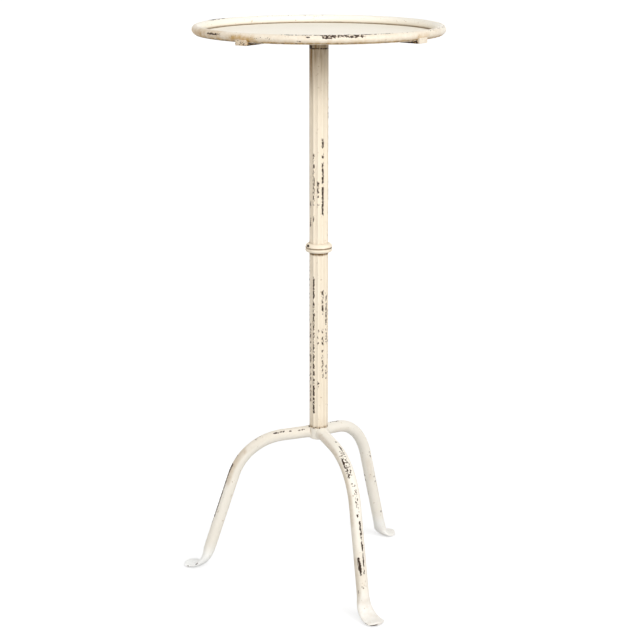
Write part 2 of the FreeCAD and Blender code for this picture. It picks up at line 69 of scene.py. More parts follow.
def addNode(tree, kind, settings=None, links=None):  # links: input name or index to a socket or value
    node = tree.nodes.new(kind)
    for key, item in (settings or {}).items():
        setattr(node, key, item)
    for key, item in (links or {}).items():
        if isinstance(item, bpy.types.NodeSocket):
            tree.links.new(item, node.inputs[key])
        else:
            node.inputs[key].default_value = item
    return node


def blankMaterial(name):
    material = bpy.data.materials.new(name)
    material.use_nodes = True
    material.node_tree.nodes.clear()
    return material, material.node_tree


paintLook = {  # sizes in mm, noise levels and amounts from 0 to 1
    "cream": "#F9EDDA", "creamDeep": "#F2E4CB", "driftSize": 38, "roughness": 0.46,
    "glazeAndShade": "#8E7448", "smearSize": (6, 6, 6), "smearLeast": 0.55, "smearMost": 1.25,
    "speck": "#A78B60", "speckSize": 3.2, "speckFrom": 0.72, "speckSoft": 0.05, "speckAmount": 0.55,
    # iron shows where flake noise plus this share of the wear passes chipFrom; in places the wear mask
    # paints shade as dark chips
    "wearShare": 0.5, "chipSize": (2.4, 2.4, 6), "chipFrom": 0.84, "chipFull": 0.86, "chipDepth": 1.4,
    "stain": "#B08A5C", "stainFrom": 0.78, "stainAmount": 0.35,
    "iron": "#1C140E", "rust": "#4A3524", "ironSize": 2.5, "ironRoughness": 0.72,
    "brushScale": 0.6, "reliefStrength": 0.55, "reliefDepth": 0.3,
}


# Brushed oil paint over iron, rubbed with a brown antique glaze and chipped through to the metal:
# warm cream with faint brush drift, brown in the recesses, near-black flakes on the edges.
# The wear and glaze masks are attributes of the mesh; both also carry painted shade, on undersides,
# shaded sides and under the tray.
def distressedPaint(name, look):
    material, tree = blankMaterial(name)
    place = addNode(tree, "ShaderNodeTexCoord").outputs["Object"]
    wearAndShade = addNode(tree, "ShaderNodeAttribute", {"attribute_name": "wearAndShade"}).outputs["Fac"]
    glazeAndShade = addNode(tree, "ShaderNodeAttribute", {"attribute_name": "glazeAndShade"}).outputs["Fac"]

    drift = addNode(tree, "ShaderNodeTexNoise", None, {
        "Vector": place, "Scale": 1000 / look["driftSize"],
        "Detail": 4, "Roughness": 0.6}).outputs["Fac"]
    cream = addNode(tree, "ShaderNodeMix", {"data_type": "RGBA"}, {
        0: drift, 6: linear(look["creamDeep"]), 7: linear(look["cream"])}).outputs[2]

    if "cool" in look:  # colder white towards the floor
        height = addNode(tree, "ShaderNodeSeparateXYZ", None, {0: place}).outputs["Z"]
        low, high = look["coolSpan"]
        share = addNode(tree, "ShaderNodeMapRange", {"interpolation_type": "SMOOTHSTEP"}, {
            0: height, 1: ground + low * mm, 2: ground + high * mm, 3: 1, 4: 0}).outputs[0]
        cream = addNode(tree, "ShaderNodeMix", {"data_type": "RGBA"}, {
            0: share, 6: cream, 7: linear(look["cool"])}).outputs[2]

    # glaze and painted shade gather where the mask is high, broken up by drawn-out drift
    streaks = addNode(tree, "ShaderNodeMapping", None, {
        "Vector": place, "Scale": [1000 / s for s in look["smearSize"]]}).outputs[0]
    smear = addNode(tree, "ShaderNodeTexNoise", None, {
        "Vector": streaks, "Scale": 1, "Detail": 5, "Roughness": 0.65}).outputs["Fac"]
    smearGain = addNode(tree, "ShaderNodeMapRange", None, {
        0: smear, 1: 0.3, 2: 0.7, 3: look["smearLeast"], 4: look["smearMost"]}).outputs[0]
    glazeAndShadeAmount = addNode(tree, "ShaderNodeMath", {"operation": "MULTIPLY", "use_clamp": True}, {
        0: glazeAndShade, 1: smearGain}).outputs[0]
    glazedAndShaded = addNode(tree, "ShaderNodeMix", {"data_type": "RGBA", "blend_type": "MULTIPLY"}, {
        0: glazeAndShadeAmount, 6: cream, 7: linear(look["glazeAndShade"])}).outputs[2]

    # brown specks flicked over the paint
    speckNoise = addNode(tree, "ShaderNodeTexNoise", None, {
        "Vector": place, "Scale": 1000 / look["speckSize"],
        "Detail": 1, "Roughness": 0.4}).outputs["Fac"]
    speck = addNode(tree, "ShaderNodeMapRange", {"interpolation_type": "SMOOTHSTEP"}, {
        0: speckNoise, 1: look["speckFrom"], 2: look["speckFrom"] + look["speckSoft"],
        3: 0, 4: look["speckAmount"]}).outputs[0]
    specked = addNode(tree, "ShaderNodeMix", {"data_type": "RGBA"}, {
        0: speck, 6: glazedAndShaded, 7: linear(look["speck"])}).outputs[2]

    # chips: drawn-out noise against the wear mask, with a stain round them; where the mask carries
    # painted shade, the chips draw it
    stretched = addNode(tree, "ShaderNodeMapping", None, {
        "Vector": place, "Scale": [1000 / s for s in look["chipSize"]]}).outputs[0]
    flake = addNode(tree, "ShaderNodeTexNoise", None, {
        "Vector": stretched, "Scale": 1, "Detail": 3, "Roughness": 0.55}).outputs["Fac"]
    drive = addNode(tree, "ShaderNodeMath", {"operation": "MULTIPLY_ADD"}, {
        0: wearAndShade, 1: look["wearShare"], 2: flake}).outputs[0]
    chip = addNode(tree, "ShaderNodeMapRange", {"interpolation_type": "SMOOTHSTEP"}, {
        0: drive, 1: look["chipFrom"], 2: look["chipFull"], 3: 0, 4: 1}).outputs[0]
    halo = addNode(tree, "ShaderNodeMapRange", {"interpolation_type": "SMOOTHSTEP"}, {
        0: drive, 1: look["stainFrom"], 2: look["chipFull"], 3: 0, 4: look["stainAmount"]}).outputs[0]
    stained = addNode(tree, "ShaderNodeMix", {"data_type": "RGBA", "blend_type": "MULTIPLY"}, {
        0: halo, 6: specked, 7: linear(look["stain"])}).outputs[2]
    ironDrift = addNode(tree, "ShaderNodeTexNoise", None, {
        "Vector": place, "Scale": 1000 / look["ironSize"], "Detail": 3}).outputs["Fac"]
    iron = addNode(tree, "ShaderNodeMix", {"data_type": "RGBA"}, {
        0: ironDrift, 6: linear(look["iron"]), 7: linear(look["rust"])}).outputs[2]
    colour = addNode(tree, "ShaderNodeMix", {"data_type": "RGBA"}, {
        0: chip, 6: stained, 7: iron}).outputs[2]

    # brush marks in the paint, and the step down into a chip
    roughness = addNode(tree, "ShaderNodeMapRange", None, {
        0: chip, 1: 0, 2: 1, 3: look["roughness"], 4: look["ironRoughness"]}).outputs[0]
    brush = addNode(tree, "ShaderNodeTexNoise", None, {
        "Vector": stretched, "Scale": look["brushScale"],
        "Detail": 4, "Roughness": 0.6}).outputs["Fac"]
    skin = addNode(tree, "ShaderNodeMath", {"operation": "MULTIPLY_ADD"}, {
        0: chip, 1: -look["chipDepth"], 2: brush}).outputs[0]
    relief = addNode(tree, "ShaderNodeBump", None, {
        "Strength": look["reliefStrength"], "Distance": look["reliefDepth"] * mm,
        "Height": skin}).outputs[0]
    shader = addNode(tree, "ShaderNodeBsdfPrincipled", None, {
        "Base Color": colour, "Roughness": roughness, "Normal": relief,
        "IOR": 1.5, "Specular IOR Level": 0.35}).outputs[0]
    addNode(tree, "ShaderNodeOutputMaterial", None, {"Surface": shader})
    return material


# Zinc-plated or bare turned steel: dull grey metal with turning lines round the axis,
# drawn coarser than a lathe leaves them so that they show
def turnedSteel(name, look):
    material, tree = blankMaterial(name)
    place = addNode(tree, "ShaderNodeTexCoord").outputs["Object"]
    lines = addNode(tree, "ShaderNodeMapping", None, {
        "Vector": place, "Scale": [1000 / s for s in look["lineSize"]]}).outputs[0]
    turning = addNode(tree, "ShaderNodeTexNoise", None, {
        "Vector": lines, "Scale": 1, "Detail": 2}).outputs["Fac"]
    colour = addNode(tree, "ShaderNodeMix", {"data_type": "RGBA"}, {
        0: turning, 6: linear(look["dark"]), 7: linear(look["pale"])}).outputs[2]
    smooth, rough = look["roughness"]
    roughness = addNode(tree, "ShaderNodeMapRange", None, {
        0: turning, 1: 0.3, 2: 0.7, 3: smooth, 4: rough}).outputs[0]
    relief = addNode(tree, "ShaderNodeBump", None, {
        "Strength": 0.3, "Distance": look["reliefDepth"] * mm, "Height": turning}).outputs[0]
    shader = addNode(tree, "ShaderNodeBsdfPrincipled", None, {
        "Base Color": colour, "Metallic": 1.0, "Roughness": roughness, "Normal": relief}).outputs[0]
    addNode(tree, "ShaderNodeOutputMaterial", None, {"Surface": shader})
    return material


columnPaint = distressedPaint("creamPaintColumnGlazeAndShade", dict(
    paintLook, chipSize=(1.8, 1.8, 3.0), smearSize=(3.2, 3.2, 34)))
# the rim's glaze colour also tints the painted shade under the hoop
rimPaint = distressedPaint("creamPaintRimGlazeAndShade", dict(
    paintLook, cream="#F6F1E6", creamDeep="#F0E9DA", glazeAndShade="#C29A4E", chipSize=(2.7, 2.7, 1.4)))
trayPaint = distressedPaint("creamPaintTray", dict(
    paintLook, cream="#F9F3E5", creamDeep="#F3EAD8", speckFrom=0.74, chipSize=(4, 4, 4)))
legPaint = distressedPaint("creamPaintLegs", dict(
    paintLook, cream="#F6F0E4", creamDeep="#EFE8DA", glazeAndShade="#B08C4A", chipSize=(2.0, 2.0, 3.0),
    cool="#FCFCF9", coolSpan=(6, 44)))
platedSteel = turnedSteel("zincPlatedSteel", {
    "dark": "#8E8C86", "pale": "#BDBBB4", "roughness": (0.34, 0.5),
    "lineSize": (25, 25, 0.6), "reliefDepth": 0.05})
millSteel = turnedSteel("bareMillSteel", {
    "dark": "#4A4845", "pale": "#6A6763", "roughness": (0.42, 0.58),
    "lineSize": (25, 25, 0.5), "reliefDepth": 0.05})
print("materials ready")


# shared modelling steps

def closeUp(bm):
    bmesh.ops.remove_doubles(bm, verts=bm.verts[:], dist=0.002 * mm)
    bmesh.ops.dissolve_degenerate(bm, edges=bm.edges[:], dist=0.001 * mm)
    bmesh.ops.recalc_face_normals(bm, faces=bm.faces[:])


def fullTurn(bm, geom, steps):  # once round the column axis
    bmesh.ops.spin(
        bm, geom=geom, cent=(0, 0, 0), axis=(0, 0, 1), dvec=(0, 0, 0),
        angle=2 * math.pi, steps=steps, use_merge=True, use_duplicate=False)
    closeUp(bm)


def lathe(bm, outline, steps):  # outline: (radius, height) pairs in mm
    spots = [bm.verts.new((r * mm, 0, z * mm)) for r, z in outline]
    edges = [bm.edges.new(pair) for pair in zip(spots, spots[1:])]
    fullTurn(bm, spots + edges, steps)


def growRim(bm, rim):  # pulls a new ring of edges out of an open one, still in the same place
    grown = bmesh.ops.extrude_edge_only(bm, edges=rim)["geom"]
    newRim = [g for g in grown if isinstance(g, bmesh.types.BMEdge)]
    newSpots = [g for g in grown if isinstance(g, bmesh.types.BMVert)]
    return newRim, newSpots


def softenEdges(bm, width, segments, fromAngle=35):
    edges = [e for e in bm.edges
             if len(e.link_faces) == 2 and e.calc_face_angle(0) > math.radians(fromAngle)]
    bmesh.ops.bevel(
        bm, geom=edges, offset=width * mm, offset_type="OFFSET", affect="EDGES",
        segments=segments, profile=0.5, material=-1, clamp_overlap=True)


def makePiece(bm, name, material, node, sharp=40):
    mesh = bpy.data.meshes.new(name)
    bm.to_mesh(mesh)
    bm.free()
    mesh.polygons.foreach_set("use_smooth", [True] * len(mesh.polygons))
    mesh.set_sharp_from_angle(angle=math.radians(sharp))
    mesh.materials.append(material)
    piece = bpy.data.objects.new(name, mesh)
    scene.collection.objects.link(piece)
    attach(piece, "root")
    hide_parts(node)
    print(name, "stands for", node, "with", len(mesh.polygons), "faces")
    return piece


# masks of wear and glaze, both also carrying painted shade

def aboveGround(z):  # metres in the frame to mm over the floor
    return (z - ground) / mm


def paintMask(piece, name, rule):  # rule: vertex index and place in mm over the floor, to 0..1
    mesh = piece.data
    values = []
    for v in mesh.vertices:
        spot = Vector((v.co.x, v.co.y, v.co.z - ground)) / mm
        values.append(min(1, max(0, rule(v.index, spot))))
    mask = mesh.attributes.new(name, "FLOAT", "POINT")
    mask.data.foreach_set("value", values)


def ramp(value, low, high):  # smooth step from 0 to 1
    share = min(1, max(0, (value - low) / (high - low)))
    return share * share * (3 - 2 * share)


def band(value, low, high, soft):  # 1 between low and high, fading over soft
    return ramp(value, low - soft, low) * (1 - ramp(value, high, high + soft))


def rise(value, amount, low, high):  # none below low, the whole amount above high
    return amount * ramp(value, low, high)


def fade(value, amount, low, high):  # the whole amount below low, none above high
    return amount * (1 - ramp(value, low, high))


def stripe(value, amount, low, high, soft):
    return amount * band(value, low, high, soft)


def turnFrom(angle, other):  # difference of two bearings in degrees, -180 to 180
    return (angle - other + 180) % 360 - 180


def bearing(spot):
    return math.degrees(math.atan2(spot.y, spot.x))


def fromAxis(spot):
    return math.hypot(spot.x, spot.y)


# tray floor

tray = {
    "steps": 192, "edgeRound": 0.12, "hoopGap": 0.4,
    "lowRings": (0, 60, 120), "topRings": (120, 90, 60, 30, 0),  # radii
    "borderRings": (0, 1.2, 2.4, 8),  # distances in from the border
    # amount, then the distances from the border where it starts and ends to fade; the border darkening
    # is a painted shadow at the foot of the hoop, the under one painted shade below the sheet
    "borderShade": (0.5, 0, 1.2), "borderWear": (0.2, 0, 2), "underShade": 0.25,
}
hoopSection = 10.5  # round bar
trayLow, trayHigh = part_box("tray_sheet")
hoopLow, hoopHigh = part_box("rim_hoop")
sheetRadius = trayHigh.x / mm
sheetMiddle = aboveGround((trayLow.z + trayHigh.z) / 2)
hoopRadius = hoopHigh.x / mm
hoopCentre = hoopRadius - hoopSection / 2
hoopLevel = hoopHigh.z / mm - hoopSection / 2
floorEdge = hoopRadius - hoopSection - tray["hoopGap"]
seatLevel = hoopLow.z / mm
underside = [(r, trayLow.z / mm) for r in (*tray["lowRings"], sheetRadius)]
seat = [(sheetRadius, seatLevel), (floorEdge, seatLevel)]
topFace = [(floorEdge - d, 0) for d in tray["borderRings"]] + [(r, 0) for r in tray["topRings"]]
bm = bmesh.new()
lathe(bm, underside + seat + topFace, tray["steps"])
softenEdges(bm, tray["edgeRound"], 2)
trayFloor = makePiece(bm, "trayFloor", trayPaint, "tray_sheet")


# painted shade: darker under the sheet, and a painted shadow along the border of the floor
def trayShade(i, p):
    below = tray["underShade"] if p.z < sheetMiddle else 0
    return below + fade(floorEdge - fromAxis(p), *tray["borderShade"])


def trayWear(i, p):
    return fade(floorEdge - fromAxis(p), *tray["borderWear"])


paintMask(trayFloor, "glazeAndShade", trayShade)
paintMask(trayFloor, "wearAndShade", trayWear)

# hoop round the tray

lowerBarTurn = 234.9  # bearings of the two bars that cross under the tray
upperBarTurn = 321.2
hoop = {
    "around": 40, "steps": 360,
    # painted shade: dark chips along the underside, darkening under the bar and down the lower outer
    # face, a dark line at the floor of the tray
    # angles round the bar, 0 outwards and 90 at the crest: amount, low, high and softness
    "baseWear": 0.16, "crestWear": (0.1, 40, 80), "underChipShade": (0.66, -100, -62, 22),
    "underShade": (0.8, -64, -30), "lowerFaceShade": (0.16, -30, 5),
    "innerFrom": -100, "floorShadeLine": (0.65, -140, -124),
    # bearing from and to, angle round the bar, spread, amount
    "chips": [
        (255, 272, 70, 14, 0.8), (273, 289, 50, 44, 0.78), (290, 301, 66, 14, 0.76),
        (302, 316, 66, 16, 0.5), (272, 275, 20, 16, 1.0), (264.5, 266, 30, 14, 0.98),
        (261, 262, -18, 14, 0.9), (213.5, 220.5, 14, 20, 0.92), (143, 157, 100, 30, 0.78),
        (222, 250, 8, 26, 0.42), (10, 60, 70, 30, 0.45), (80, 120, 110, 30, 0.4),
        (328, 354, 62, 34, 0.5),
    ],
    "chipFade": 4, "chipCore": 0.4,
    # brown at the claws, painted shade on the lower edge of the hoop's left end (bearing 196), and
    # yellowed stretches of the outer face: middle bearing, half width, amount
    "brownTabsAndShade": [
        (lowerBarTurn, 11, 0.6), (196, 16, 0.5), (upperBarTurn, 8, 0.25),
        (lowerBarTurn - 180, 9, 0.4), (upperBarTurn - 180, 9, 0.4),
    ],
    "tabCore": 0.3, "tabReach": (-10, 55),
    "yellowed": [(270, 95, 0.27), (235, 40, 0.3), (212, 16, 0.52), (193, 16, 0.34), (332, 12, 0.27)],
    "yellowCore": 0.5, "yellowReach": (50, 120),
}
bm = bmesh.new()
section = bmesh.ops.create_circle(
    bm, cap_ends=False, segments=hoop["around"], radius=hoopSection / 2 * mm)
upright = Matrix.Rotation(math.pi / 2, 3, "X")
bmesh.ops.rotate(bm, verts=section["verts"], cent=(0, 0, 0), matrix=upright)
bmesh.ops.translate(bm, verts=section["verts"], vec=(hoopCentre * mm, 0, hoopLevel * mm))
for v in section["verts"]:
    v.co.z = max(v.co.z, hoopLow.z)  # weld flat under the bar
fullTurn(bm, bm.verts[:] + bm.edges[:], hoop["steps"])
rimHoop = makePiece(bm, "rimHoop", rimPaint, "rim_hoop", 60)


def sectionAngle(p):
    return math.degrees(math.atan2(p.z - aboveGround(hoopLevel * mm), fromAxis(p) - hoopCentre))


def hoopWearAndShade(i, p):
    turn = bearing(p)
    tilt = sectionAngle(p)
    # the band of dark chips along the underside is painted shade
    worn = max(hoop["baseWear"] + rise(tilt, *hoop["crestWear"]), stripe(tilt, *hoop["underChipShade"]))
    for start, end, side, spread, amount in hoop["chips"]:
        half = (end - start) / 2
        off = turnFrom(turn, start + half)
        run = stripe(off, amount, -half, half, min(hoop["chipFade"], half))
        worn = max(worn, fade(abs(tilt - side), run, spread * hoop["chipCore"], spread))
    return worn


def hoopMarks(turn, tilt, marks, core, reach):  # the strongest of the marks, fading up the outer face
    most = 0
    for middle, spread, amount in marks:
        near = fade(abs(turnFrom(turn, middle)), amount, spread * core, spread)
        most = max(most, fade(tilt, near, *reach))
    return most


def hoopGlazeAndShade(i, p):
    turn = bearing(p)
    tilt = sectionAngle(p)
    if tilt < hoop["innerFrom"]:  # painted shade: a thin dark line along the floor of the tray
        return rise(tilt, *hoop["floorShadeLine"])
    # painted shade under the bar and down the lower outer face
    shadeBelow = fade(tilt, *hoop["underShade"]) + fade(tilt, *hoop["lowerFaceShade"])
    tabsAndShade = hoopMarks(turn, tilt, hoop["brownTabsAndShade"], hoop["tabCore"], hoop["tabReach"])
    aged = hoopMarks(turn, tilt, hoop["yellowed"], hoop["yellowCore"], hoop["yellowReach"])
    return max(shadeBelow, tabsAndShade) + aged


paintMask(rimHoop, "wearAndShade", hoopWearAndShade)
paintMask(rimHoop, "glazeAndShade", hoopGlazeAndShade)

# flat cross under the tray, each end turned up round the hoop

cross = {
    "width": 15.5, "thick": 3.2, "overhang": 1.0, "rise": 3.4, "gap": 0.1, "edgeRound": 0.9,
    "halving": 8.27,  # half the length of the notch where the bars cross
    "hollowSteps": 8,
    # the bars between the claws go near black, partly bare iron and partly painted shade under the tray
    "barWearAndShade": 0.88, "barGlazeAndShade": 1, "clawReach": (149, 152),  # the claws start between these radii
}
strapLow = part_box("strap_lower")[0].z / mm
strapTop = strapLow + cross["thick"]
clawTop = strapTop + cross["rise"]
strapEnd = hoopRadius + cross["overhang"]
clawFoot = sheetRadius + cross["gap"]
seatRadius = hoopSection / 2 + cross["gap"]


def makeStrap(name, node, turn, notchTop, clawWear, clawGlaze):
    half = strapLow + cross["thick"] / 2
    notch = cross["halving"]
    upper = [(notch, strapTop), (notch, half), (0, half)] if notchTop else [(0, strapTop)]
    lower = [(0, strapLow)] if notchTop else [(0, half), (notch, half), (notch, strapLow)]
    across = clawFoot - hoopCentre
    startAngle = -math.acos(across / seatRadius)
    endAngle = math.asin((clawTop - hoopLevel) / seatRadius)
    hollow = []
    for k in range(cross["hollowSteps"] + 1):
        a = startAngle + (endAngle - startAngle) * k / cross["hollowSteps"]
        hollow.append((hoopCentre + seatRadius * math.cos(a), hoopLevel + seatRadius * math.sin(a)))
    claw = [(clawFoot, strapLow), (strapEnd, strapLow), (strapEnd, clawTop)] + hollow[::-1]
    outline = lower + claw + [(clawFoot, strapTop)] + upper
    bm = bmesh.new()
    spots = [bm.verts.new((x * mm, -cross["width"] / 2 * mm, z * mm)) for x, z in outline]
    side = bm.faces.new(spots)
    grown = bmesh.ops.extrude_face_region(bm, geom=[side])["geom"]
    moved = [g for g in grown if isinstance(g, bmesh.types.BMVert)]
    bmesh.ops.translate(bm, verts=moved, vec=(0, cross["width"] * mm, 0))
    middle = [f for f in bm.faces if all(abs(v.co.x) < 1e-7 for v in f.verts)]
    bmesh.ops.delete(bm, geom=middle, context="FACES_ONLY")
    bmesh.ops.mirror(bm, geom=bm.verts[:] + bm.edges[:] + bm.faces[:], axis="X", merge_dist=1e-6)
    closeUp(bm)
    softenEdges(bm, cross["edgeRound"], 3, 50)
    bmesh.ops.triangulate(bm, faces=[f for f in bm.faces if len(f.verts) > 4])
    turned = Matrix.Rotation(math.radians(turn), 3, "Z")
    bmesh.ops.rotate(bm, verts=bm.verts[:], cent=(0, 0, 0), matrix=turned)
    strap = makePiece(bm, name, rimPaint, node, 35)

    def fromBarToClaw(p, inside, outside):
        return inside + rise(fromAxis(p), outside - inside, *cross["clawReach"])

    paintMask(strap, "wearAndShade", lambda i, p: fromBarToClaw(p, cross["barWearAndShade"], clawWear))
    paintMask(strap, "glazeAndShade", lambda i, p: fromBarToClaw(p, cross["barGlazeAndShade"], clawGlaze))


makeStrap("crossBarLower", "strap_lower", lowerBarTurn, True, 0.52, 0.6)
makeStrap("crossBarUpper", "strap_upper", upperBarTurn, False, 0.3, 0.28)

# column: fluted tubes

column = {
    "flutes": 12, "fluteDepth": 0.85, "fluteRadius": 8.4, "fluteSteps": 10, "fluteBearing": 10.5,
    "ringSpacing": 2, "bore": 16, "boreSteps": 48,
    # wear: amount and span over the hub, from the ring's foot (wear and a painted shadow under the
    # ring) and from the collar's foot
    "baseWear": 0.1, "footWear": (0.66, 0.5, 3), "ringWear": (0.62, -2.4, 0, 1.4),
    "collarWear": (0.95, -1.5, -0.3),
    "ridgeWear": 0.24, "wearLoss": 0.2,  # and the loss for each mm down into a flute
    # glaze down in the flutes; painted shade on the left and on the left at the top; darker on the
    # right of the lower tube
    "fluteGlaze": (0.09, 0.15, 0.8), "leftShade": (0.12, 30, 65),
    "topLeftShade": (0.25, 30, 60), "topLeftSpan": (600, 660), "lowerRightDarkening": (0.04, -20, 20),
    # glaze mask: painted shade under the tray, glaze and a line at the foot, a painted shadow line
    # under the ring, a line at the collar, glaze just above the ring
    "topDarkening": (0.7, 604, 698), "footGlaze": (0.14, 2.3, 23.3), "footLine": (0.6, 0.3, 3.3),
    "underRingShade": (0.95, -2.6, 0.6, 1.2), "collarLine": (0.9, -0.7, 1.3, 0.8),
    "overRing": (0.05, -0.6, 2.4, 5),
    # ridge bearing from the front, low and high above ground, amount of chipping
    "chips": [
        (25.5, 561, 571, 0.86), (25.5, 548, 552, 0.78), (25.5, 517, 542, 0.8), (25.5, 482, 511, 0.88),
        (25.5, 476, 480, 0.76), (-34.5, 489, 552, 0.64), (-34.5, 470, 473, 0.74),
        (-4.5, 513.5, 517.5, 0.86), (-4.5, 500, 511, 0.72), (-4.5, 487, 491, 0.6),
        (-64.5, 487, 493, 0.72), (-64.5, 462, 474, 0.72), (-34.5, 266, 398, 0.76),
        (-34.5, 223, 266, 0.86), (-64.5, 235, 338, 0.7), (25.5, 351, 381, 0.74),
        (25.5, 328, 332, 0.7), (25.5, 312, 321, 0.72), (25.5, 268, 305, 0.62), (55.5, 355, 376, 0.68),
        (55.5, 338, 355, 0.84), (55.5, 312, 331, 0.68), (55.5, 266, 284, 0.66), (-4.5, 312, 331, 0.58),
        (-4.5, 255, 262, 0.7), (85.5, 230, 640, 0.5), (115.5, 300, 560, 0.55), (145.5, 230, 420, 0.62),
        (175.5, 470, 640, 0.6), (205.5, 240, 500, 0.5), (235.5, 330, 600, 0.58),
        (265.5, 220, 420, 0.55),
    ],
    "chipSpread": (5, 11), "chipFade": 4,  # degrees off the ridge, mm past the ends
}
front = 270  # bearing of the side that faces the viewer
turnedSides = 96  # sides of the collar, rings and hub
bossLow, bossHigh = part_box("top_boss")
hubLow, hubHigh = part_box("hub")
columnRadius = bossHigh.x / mm
hubTop = aboveGround(hubHigh.z)
collarFoot = aboveGround(bossLow.z)
ringFoot = aboveGround(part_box("lower_ring")[0].z)
ringTop = aboveGround(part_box("upper_ring")[1].z)
seam = aboveGround(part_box("upper_ring")[0].z)


def ridgeTurn(p):  # bearing from the front, to the right
    return turnFrom(bearing(p), front)


def columnWearAndShade(i, p):
    turn = ridgeTurn(p)
    worn = max(
        column["baseWear"],
        column["ridgeWear"] - column["wearLoss"] * (columnRadius - fromAxis(p)),
        fade(p.z - hubTop, *column["footWear"]),
        stripe(p.z - ringFoot, *column["ringWear"]),
        rise(p.z - collarFoot, *column["collarWear"]))
    for ridge, low, high, amount in column["chips"]:
        off = abs(turnFrom(turn, ridge))
        if off < column["chipSpread"][1]:
            run = stripe(p.z, amount, low, high, column["chipFade"])
            worn = max(worn, fade(off, run, *column["chipSpread"]))
    return worn


def columnGlazeAndShade(i, p):
    turn = ridgeTurn(p)
    # glaze down in the flutes, painted shade down the left side and at the top left, darker on the
    # right of the lower tube
    sides = rise(columnRadius - fromAxis(p), *column["fluteGlaze"]) + rise(-turn, *column["leftShade"])
    sides += rise(-turn, *column["topLeftShade"]) * ramp(p.z, *column["topLeftSpan"])
    if p.z < ringFoot:
        sides += rise(turn, *column["lowerRightDarkening"])
    # painted shade under the tray and a painted shadow under the ring, with glaze and dark lines at the
    # foot and collar
    bands = max(
        rise(p.z, *column["topDarkening"]),
        fade(p.z - hubTop, *column["footGlaze"]) + fade(p.z - hubTop, *column["footLine"]),
        stripe(p.z - ringFoot, *column["underRingShade"]) + stripe(p.z - ringTop, *column["overRing"]),
        stripe(p.z - collarFoot, *column["collarLine"]))
    return sides + bands


def makeTube(name, node):
    low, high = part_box(node)
    radius = column["fluteRadius"]
    away = columnRadius - column["fluteDepth"] + radius  # from the column's axis to a flute's centre
    half = math.acos((away ** 2 + radius ** 2 - columnRadius ** 2) / (2 * away * radius))
    bm = bmesh.new()
    first = bm.verts.new(((away - radius * math.cos(half)) * mm, -radius * math.sin(half) * mm, low.z))
    bmesh.ops.spin(
        bm, geom=[first], cent=(away * mm, 0, 0), axis=(0, 0, 1), dvec=(0, 0, 0),
        angle=-2 * half, steps=column["fluteSteps"], use_merge=False, use_duplicate=False)
    bmesh.ops.spin(
        bm, geom=bm.verts[:] + bm.edges[:], cent=(0, 0, 0), axis=(0, 0, 1), dvec=(0, 0, 0),
        angle=2 * math.pi, steps=column["flutes"], use_merge=True, use_duplicate=True)
    bmesh.ops.remove_doubles(bm, verts=bm.verts[:], dist=0.01 * mm)
    ends = [v for v in bm.verts if len(v.link_edges) == 1]
    ends.sort(key=lambda v: bearing(v.co))
    for a in ends:  # narrow land on each ridge
        b = min((v for v in ends if v is not a), key=lambda v: (v.co - a.co).length)
        if not bm.edges.get((a, b)):
            bm.edges.new((a, b))
    outer = bm.edges[:]
    outerSet = set(outer)
    bore = bmesh.ops.create_circle(
        bm, cap_ends=False, segments=column["boreSteps"], radius=column["bore"] / 2 * mm)
    bmesh.ops.translate(bm, verts=bore["verts"], vec=(0, 0, low.z))
    inner = [e for e in bm.edges if e not in outerSet]
    bmesh.ops.bridge_loops(bm, edges=outer + inner)
    length = high.z - low.z
    steps = max(2, round(length / mm / column["ringSpacing"]))
    for k in range(steps):  # close rings, because the masks sit on the vertices
        outer, moved = growRim(bm, outer)
        bmesh.ops.translate(bm, verts=moved, vec=(0, 0, length / steps))
    inner, moved = growRim(bm, inner)
    bmesh.ops.translate(bm, verts=moved, vec=(0, 0, length))
    bmesh.ops.bridge_loops(bm, edges=outer + inner)
    closeUp(bm)
    turned = Matrix.Rotation(math.radians(column["fluteBearing"]), 3, "Z")
    bmesh.ops.rotate(bm, verts=bm.verts[:], cent=(0, 0, 0), matrix=turned)
    tube = makePiece(bm, name, columnPaint, node, 50)
    paintMask(tube, "wearAndShade", columnWearAndShade)
    paintMask(tube, "glazeAndShade", columnGlazeAndShade)


makeTube("columnUpper", "upper_tube")
makeTube("columnLower", "lower_tube")

# collar between the tray and the column

collar = {
    # the whole collar is darkened: glaze and painted shade under the tray
    "holeRadius": 4.05, "holeDepth": 13, "rings": (0, 1.5, 3, 5, 10), "edgeRound": 0.5, "glazeAndShade": 0.88,
    "footWear": (0.95, 0.3, 0.9),
    "patchTurn": -62, "patchSpread": (12, 24), "patchRise": (2.8, 5),  # dark patch at the left
}


def makeTurned(name, node, outline, wearRule, glazeRule, material, edgeRound):
    bm = bmesh.new()
    lathe(bm, outline, turnedSides)
    softenEdges(bm, edgeRound, 3)
    piece = makePiece(bm, name, material, node, 60)
    paintMask(piece, "wearAndShade", wearRule)
    paintMask(piece, "glazeAndShade", glazeRule)


def collarWear(i, p):
    patch = fade(abs(ridgeTurn(p) - collar["patchTurn"]), 1, *collar["patchSpread"])
    return max(fade(p.z - collarFoot, *collar["footWear"]),
               fade(p.z - collarFoot, patch, *collar["patchRise"]))


foot, top = bossLow.z / mm, bossHigh.z / mm
makeTurned(
    "topCollar", "top_boss",
    [(0, foot + collar["holeDepth"]), (collar["holeRadius"], foot + collar["holeDepth"]),
     (collar["holeRadius"], foot), *[(columnRadius, foot + up) for up in collar["rings"]],
     (columnRadius, top), (0, top)],
    collarWear, lambda i, p: collar["glazeAndShade"], columnPaint, collar["edgeRound"])

# double ring: a quarter round above and a half round below the seam

